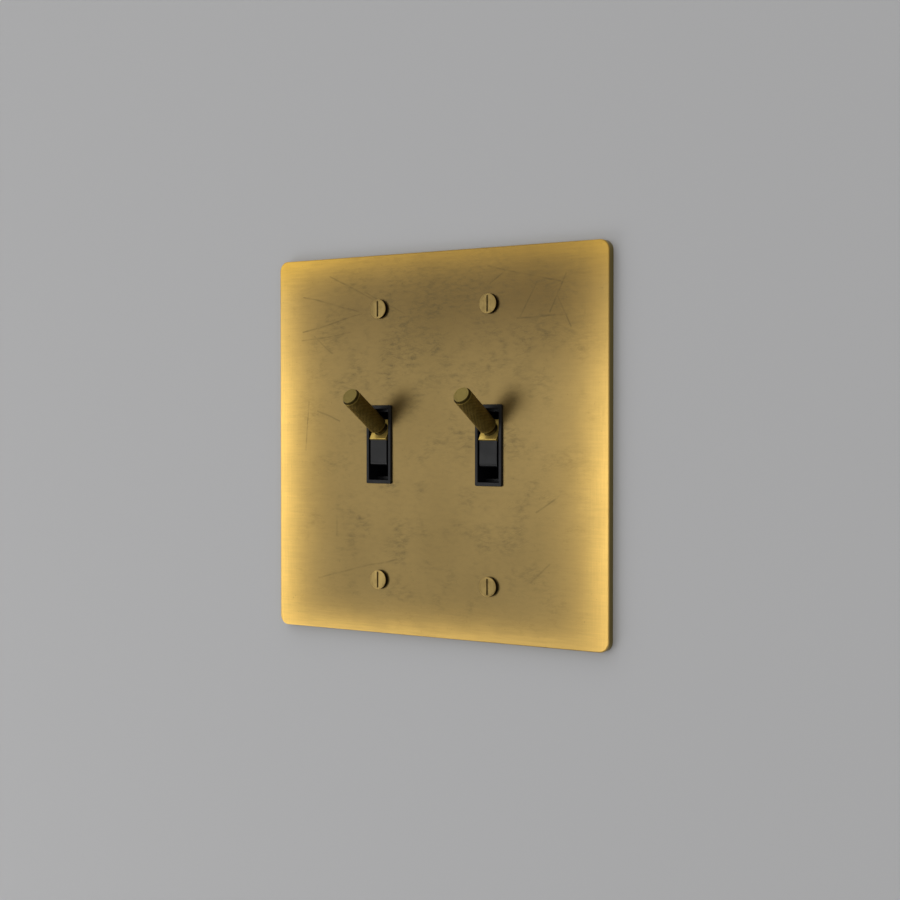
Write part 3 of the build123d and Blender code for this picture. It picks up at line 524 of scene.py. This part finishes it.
# Plain metals: light and dark tone, roughness, stretch of the grain lines, size of the clouds
METALS = {
    "aged_brass": (srgb(226, 196, 108), srgb(198, 168, 86), 0.54, (12, 1, 1), 2.0),
    "zinc_steel": (srgb(196, 198, 196), srgb(158, 162, 160), 0.36, (1, 1, 20), 5.0),
    "bright_steel": (srgb(206, 206, 208), srgb(176, 176, 178), 0.28, (1, 1, 1), 2.0),
    "spring_steel": (srgb(150, 150, 155), srgb(110, 110, 115), 0.32, (1, 1, 1), 1.0),
    "copper_strip": (srgb(214, 140, 96), srgb(170, 100, 66), 0.34, (1, 1, 16), 2.0),
    "silver_contact": (srgb(226, 224, 218), srgb(190, 188, 182), 0.3, (1, 1, 1), 1.0),
    "terminal_brass": (srgb(222, 186, 104), srgb(188, 150, 78), 0.34, (1, 16, 1), 3.0),
    "green_screw": (srgb(70, 140, 78), srgb(44, 104, 54), 0.4, (1, 1, 1), 2.0),
}
# Plastics: light and dark tone, roughness, size and depth of the grain, shine
PLASTICS = {
    "black_frame": (srgb(20, 20, 22), srgb(14, 14, 16), 0.42, 0.25, 0.004, 0.3),
    "black_gloss": (srgb(18, 18, 19), srgb(12, 12, 13), 0.35, 0.4, 0.002, 0.3),
    "housing_plastic": (srgb(52, 52, 55), srgb(40, 40, 42), 0.5, 0.3, 0.012, 0.5),
}
finishes = {
    "plate_brass": plate_brass(),
    "screw_brass": screw_brass(),
    "lever_brass": lever_brass(),
    "fibre_board": fibre_board(),
}
for metal, values in METALS.items():
    finishes[metal] = mottled_metal(metal, *values)
for plastic, values in PLASTICS.items():
    finishes[plastic] = moulded_plastic(plastic, *values)

for subpart in frame["record"]["subparts"]:
    for material_slot in frame["nodes"][subpart["node"]].material_slots:
        material_slot.material = finishes[subpart["material_slot"]]


def add_turned(bm, base, axis, across, stations, segments, relief=None, open_end=False):
    """Skin turned about an axis. Stations are (distance, radius, depth), and relief(distance, angle) says
    what share of the depth is cut away there. Returns the last ring, which an open end leaves uncovered."""
    side = axis.cross(across)
    rings = []
    reaches = []
    for distance, radius, depth in stations:
        centre = base + axis * distance
        ring = []
        reach = []
        for step in range(segments):
            angle = 2 * pi * step / segments
            out = radius - (depth * relief(distance, angle) if depth else 0)
            ring.append(bm.verts.new(centre + (across * cos(angle) + side * sin(angle)) * out))
            reach.append(out)
        rings.append(ring)
        reaches.append(reach)
    for low, high, low_reach, high_reach in zip(rings, rings[1:], reaches, reaches[1:]):
        for step in range(segments):
            after = (step + 1) % segments
            rising = abs(high_reach[after] - low_reach[step])
            falling = abs(high_reach[step] - low_reach[after])
            if rising == falling:
                bm.faces.new((low[step], low[after], high[after], high[step]))
            elif rising < falling:
                bm.faces.new((low[step], low[after], high[after]))
                bm.faces.new((low[step], high[after], high[step]))
            else:
                bm.faces.new((low[step], low[after], high[step]))
                bm.faces.new((low[after], high[after], high[step]))
    bm.faces.new(rings[0])
    if not open_end:
        bm.faces.new(rings[-1])
    return rings[-1]


def loop_edges(bm, ring):
    """Edges round a closed ring of vertices, made where they are missing."""
    edges = []
    for first, second in zip(ring, ring[1:] + ring[:1]):
        edges.append(bm.edges.get((first, second)) or bm.edges.new((first, second)))
    return edges


def add_slotted_face(bm, ring, centre, length, width, depth):
    """Flat screw face inside an open ring, facing the room, with an upright round-ended slot sunk in it."""
    straight = (length - width) / 2
    top = []
    for step in range(SLOT_SEGMENTS):
        angle = 2 * pi * (step + 0.5) / SLOT_SEGMENTS
        rise = straight if sin(angle) > 0 else -straight
        offset = Vector((cos(angle) * width / 2, 0, sin(angle) * width / 2 + rise))
        top.append(bm.verts.new(centre + offset))
    bmesh.ops.triangle_fill(bm, use_beauty=True, edges=loop_edges(bm, ring) + loop_edges(bm, top))
    floor_ring = [bm.verts.new(vert.co + Vector((0, depth, 0))) for vert in top]
    for step in range(SLOT_SEGMENTS):
        after = (step + 1) % SLOT_SEGMENTS
        bm.faces.new((top[step], top[after], floor_ring[after], floor_ring[step]))
    bm.faces.new(floor_ring)


def finish_piece(name, bm, slot, *nodes):
    """Piece from a millimetre mesh: smooth but for its crisp edges, in place of nodes."""
    bmesh.ops.recalc_face_normals(bm, faces=bm.faces)
    bmesh.ops.scale(bm, vec=(MM, MM, MM), verts=bm.verts)
    mesh = bpy.data.meshes.new(name)
    bm.to_mesh(mesh)
    bm.free()
    mesh.shade_smooth()
    mesh.set_sharp_from_angle(angle=SHARP_ANGLE)
    mesh.materials.append(finishes[slot])
    piece = bpy.data.objects.new(name, mesh)
    bpy.context.scene.collection.objects.link(piece)
    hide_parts(*nodes)
    return piece


def groove_share(turns):
    """1 in a groove, where turns is whole, and 0 on the flat between two grooves."""
    ridge = abs(2 * (turns - floor(turns)) - 1)
    return max(0.0, (ridge - KNURL_FLAT) / (1 - KNURL_FLAT))


def knurl(distance, angle):
    """Two crossing families of helical grooves, which leave diamonds between them."""
    around = KNURL_TEETH * angle / (2 * pi)
    along = KNURL_ROWS * (distance - GRIP_START) / (GRIP_END - GRIP_START)
    return max(groove_share(around + along), groove_share(around - along))


def lever_stations():
    """Profile of the lever from its tail to its cap: (distance from the pivot, radius, knurl depth)."""
    steps = KNURL_ROWS * KNURL_SAMPLES
    pitch = (GRIP_END - GRIP_START) / steps
    before = [(4.5, 1.5), (10.5, 1.5), (10.5, 2.7), (11.0, 2.2), (12.7, 2.2), (12.7, 2.9),
              (GRIP_START, GRIP_RADIUS)]
    after = [(GRIP_END, GRIP_RADIUS), (31.8, 2.85), (31.8, 2.6), (32.05, 2.6), (32.05, 2.85), (32.4, 2.85),
             (32.5, 2.75), (32.5, 2.3), (32.46, 2.26), (32.46, 2.2), (32.5, 2.16)]
    grip = [(GRIP_START + pitch * step, GRIP_RADIUS, KNURL_DEPTH) for step in range(1, steps)]
    return [(*point, 0.0) for point in before] + grip + [(*point, 0.0) for point in after]


def thread(distance, angle):
    """Helical groove of a right-handed thread: 0 on the crest, 1 at the root."""
    turns = distance / THREAD_PITCH + angle / (2 * pi)
    ridge = abs(2 * (turns - floor(turns)) - 1)
    return min(1.0, max(0.0, THREAD_STEEPNESS * ridge - THREAD_CREST))


def thread_stations(start, end, radius, point):
    """Stations of a thread from its tapered point at start to its run-out at end."""
    steps = round((end - start - point) / THREAD_PITCH * THREAD_SAMPLES)
    pitch = (end - start - point) / steps
    run = [(start + point + pitch * step, radius, THREAD_DEPTH) for step in range(steps)]
    return [(start, radius - point, 0.0)] + run + [(end, radius, 0.0)]


def build_screws(name, slot, node, height, head, neck, thread_run, slot_size):
    """Four slotted screws at the corners of a grid: thread_run from the tip, a plain neck, and the head.
    Points of neck and head are (distance towards the room, radius)."""
    bm = bmesh.new()
    towards_room = Vector((0, -1, 0))
    across = Vector((1, 0, 0))
    stations = thread_stations(**thread_run) + [(*station, 0.0) for station in neck + head]
    face_reach = head[-1][0]
    for side_sign in SIDES.values():
        for level in (-height, height):
            base = Vector((side_sign * GANG_X, 0, level))
            ring = add_turned(
                bm, base, towards_room, across, stations, THREAD_SEGMENTS, thread, open_end=True)
            add_slotted_face(bm, ring, base + towards_room * face_reach, **slot_size)
    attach(finish_piece(name, bm, slot, node), "root")


def build_spring(name, base, axis, across, node):
    """Coil spring of round wire along an axis."""
    bm = bmesh.new()
    side = axis.cross(across)
    steps = SPRING_TURNS * SPRING_STEPS
    length = SPRING_END - SPRING_START
    rings = []
    for step in range(steps + 1):
        angle = 2 * pi * step / SPRING_STEPS
        out = across * cos(angle) + side * sin(angle)
        around = (side * cos(angle) - across * sin(angle)) * (2 * pi * SPRING_RADIUS * SPRING_TURNS)
        run = (around + axis * length).normalized()
        beside = run.cross(out)
        centre = base + axis * (SPRING_START + length * step / steps) + out * SPRING_RADIUS
        ring = []
        for corner in range(SPRING_SEGMENTS):
            turn = 2 * pi * corner / SPRING_SEGMENTS
            offset = (out * cos(turn) + beside * sin(turn)) * SPRING_WIRE_RADIUS
            ring.append(bm.verts.new(centre + offset))
        rings.append(ring)
    for low, high in zip(rings, rings[1:]):
        for corner in range(SPRING_SEGMENTS):
            after = (corner + 1) % SPRING_SEGMENTS
            bm.faces.new((low[corner], low[after], high[after], high[corner]))
    bm.faces.new(rings[0])
    bm.faces.new(rings[-1])
    return finish_piece(name, bm, "spring_steel", node)


for side_name, side_sign in SIDES.items():
    pivot = Vector((side_sign * GANG_X, PIVOT_Y, 0))
    outwards = Vector((0, -cos(REST_ANGLE), sin(REST_ANGLE)))
    across_lever = Vector((1, 0, 0))
    lever = bmesh.new()
    add_turned(lever, pivot, outwards, across_lever, lever_stations(), KNURL_TEETH * KNURL_SAMPLES, knurl)
    lever_piece = finish_piece(f"{side_name}_knurled_lever", lever, "lever_brass", f"{side_name}_lever")
    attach(lever_piece, f"{side_name}_toggle")
    spring_node = f"{side_name}_plunger_spring"
    spring = build_spring(f"{side_name}_coil_spring", pivot, -outwards, across_lever, spring_node)
    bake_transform(spring)

build_screws(
    "threaded_plate_screws", "screw_brass", "plate_screws", PLATE_SCREW_Z,
    head=[(-PLATE_FRONT, 1.7), (-PLATE_FRONT, SCREW_HEAD_RADIUS), (4.55, SCREW_HEAD_RADIUS), (4.63, 3.43),
          (4.68, 3.38), (-SCREW_FACE_Y, 3.3)],
    neck=[(0.6, 1.7)],
    thread_run={"start": -7.0, "end": 0.4, "radius": 1.7, "point": 0.4},
    slot_size={"length": 5.7, "width": 0.75, "depth": 0.4},
)
build_screws(
    "threaded_box_screws", "zinc_steel", "box_screws", BOX_SCREW_Z,
    head=[(1.0, 1.45), (1.0, 3.4), (1.93, 3.4), (2.25, 3.2), (2.4, 2.93)],
    neck=[(-1.6, 1.45)],
    thread_run={"start": -25.4, "end": -1.8, "radius": 1.75, "point": 1.2},
    slot_size={"length": 5.6, "width": 0.9, "depth": 0.7},
)


def build_wall():
    """Flat painted wall round the opening. Its back is clear, so that views from behind show the switch."""
    bm = bmesh.new()
    corners = [(-1, -1), (1, -1), (1, 1), (-1, 1)]
    outer = []
    inner = []
    for x, z in corners:
        outer.append(bm.verts.new(Vector((WALL_REACH * x, WALL_Y, WALL_REACH * z)) * MM))
        inner.append(bm.verts.new(Vector((OPENING_HALF_WIDTH * x, WALL_Y, OPENING_HALF_HEIGHT * z)) * MM))
    for step in range(len(corners)):
        after = (step + 1) % len(corners)
        bm.faces.new((outer[step], outer[after], inner[after], inner[step]))
    mesh = bpy.data.meshes.new("wall")
    bm.to_mesh(mesh)
    bm.free()
    finish = Finish("wall_paint", roughness=0.9, base_color=WALL_PAINT)
    seen_from = finish.nodes.new("ShaderNodeNewGeometry")
    clear = finish.nodes.new("ShaderNodeBsdfTransparent")
    choose = finish.nodes.new("ShaderNodeMixShader")
    finish.links.new(seen_from.outputs["Backfacing"], choose.inputs[0])
    finish.links.new(finish.shader.outputs[0], choose.inputs[1])
    finish.links.new(clear.outputs[0], choose.inputs[2])
    finish.links.new(choose.outputs[0], finish.nodes["Material Output"].inputs["Surface"])
    mesh.materials.append(finish.material)
    wall = bpy.data.objects.new("wall", mesh)
    bpy.context.scene.collection.objects.link(wall)


build_wall()


def add_lamp(name, place, size, radiance):
    """Square soft box at a place and of a side in metres, aimed at the middle of the plate."""
    lamp = bpy.data.lights.new(name, "AREA")
    lamp.shape = "SQUARE"
    lamp.size = size
    lamp.energy = radiance * pi * size**2
    holder = bpy.data.objects.new(name, lamp)
    holder.location = place
    holder.rotation_euler = (Vector() - Vector(place)).to_track_quat("-Z", "Y").to_euler()
    bpy.context.scene.collection.objects.link(holder)


add_lamp("key", (-0.65, -1.08, 0.0), 0.56, 1.38)
add_lamp("front_fill", (0.1, -1.5, 0.05), 0.9, 0.5)
add_lamp("top_fill", (-0.5, -0.5, 1.2), 0.7, 0.9)
add_lamp("low_fill", (-0.8, -0.6, -0.68), 0.6, 2.0)
add_lamp("right_fill", (0.85, -1.0, -0.2), 0.9, 0.5)
add_lamp("rear_fill", (0.5, 1.3, 0.8), 0.9, 2.7)
add_lamp("rear_low", (-0.9, 1.2, -0.1), 0.7, 1.6)


def build_room_light():
    """World that is brighter overhead than below, and dimmer on the room's right-hand side."""
    world = bpy.data.worlds.new("room")
    bpy.context.scene.world = world
    world.use_nodes = True
    nodes = world.node_tree.nodes
    links = world.node_tree.links

    def ramp(value, low, high, to_low, to_high):
        """Strength that changes smoothly as value goes from low to high."""
        node = nodes.new("ShaderNodeMapRange")
        node.interpolation_type = "SMOOTHSTEP"
        links.new(value, node.inputs["Value"])
        for socket, number in zip(node.inputs[1:], (low, high, to_low, to_high)):
            socket.default_value = number
        return node.outputs[0]

    direction = nodes.new("ShaderNodeTexCoord")
    parts = nodes.new("ShaderNodeSeparateXYZ")
    links.new(direction.outputs["Generated"], parts.inputs[0])
    towards_dim_side = nodes.new("ShaderNodeVectorMath")
    towards_dim_side.operation = "DOT_PRODUCT"
    towards_dim_side.inputs[1].default_value = DIM_SIDE
    links.new(direction.outputs["Generated"], towards_dim_side.inputs[0])
    strength = nodes.new("ShaderNodeMath")
    strength.operation = "MULTIPLY"
    links.new(ramp(parts.outputs["Z"], -0.7, 0.8, 0.22, 0.66), strength.inputs[0])
    links.new(ramp(towards_dim_side.outputs["Value"], 0.3, 0.9, 1.0, 0.4), strength.inputs[1])
    links.new(strength.outputs[0], nodes["Background"].inputs["Strength"])
    nodes["Background"].inputs["Color"].default_value = (1.0, 1.0, 1.0, 1.0)


build_room_light()


def build_camera():
    """Camera of the fitted view."""
    data = bpy.data.cameras.new("camera")
    data.lens = CAMERA_LENS
    data.sensor_width = SENSOR_WIDTH
    camera = bpy.data.objects.new("camera", data)
    camera.location = CAMERA_PLACE
    camera.rotation_euler = (pi / 2 + CAMERA_PITCH, 0, CAMERA_YAW)
    bpy.context.scene.collection.objects.link(camera)
    bpy.context.scene.camera = camera


build_camera()
bpy.context.scene.view_settings.view_transform = "Standard"
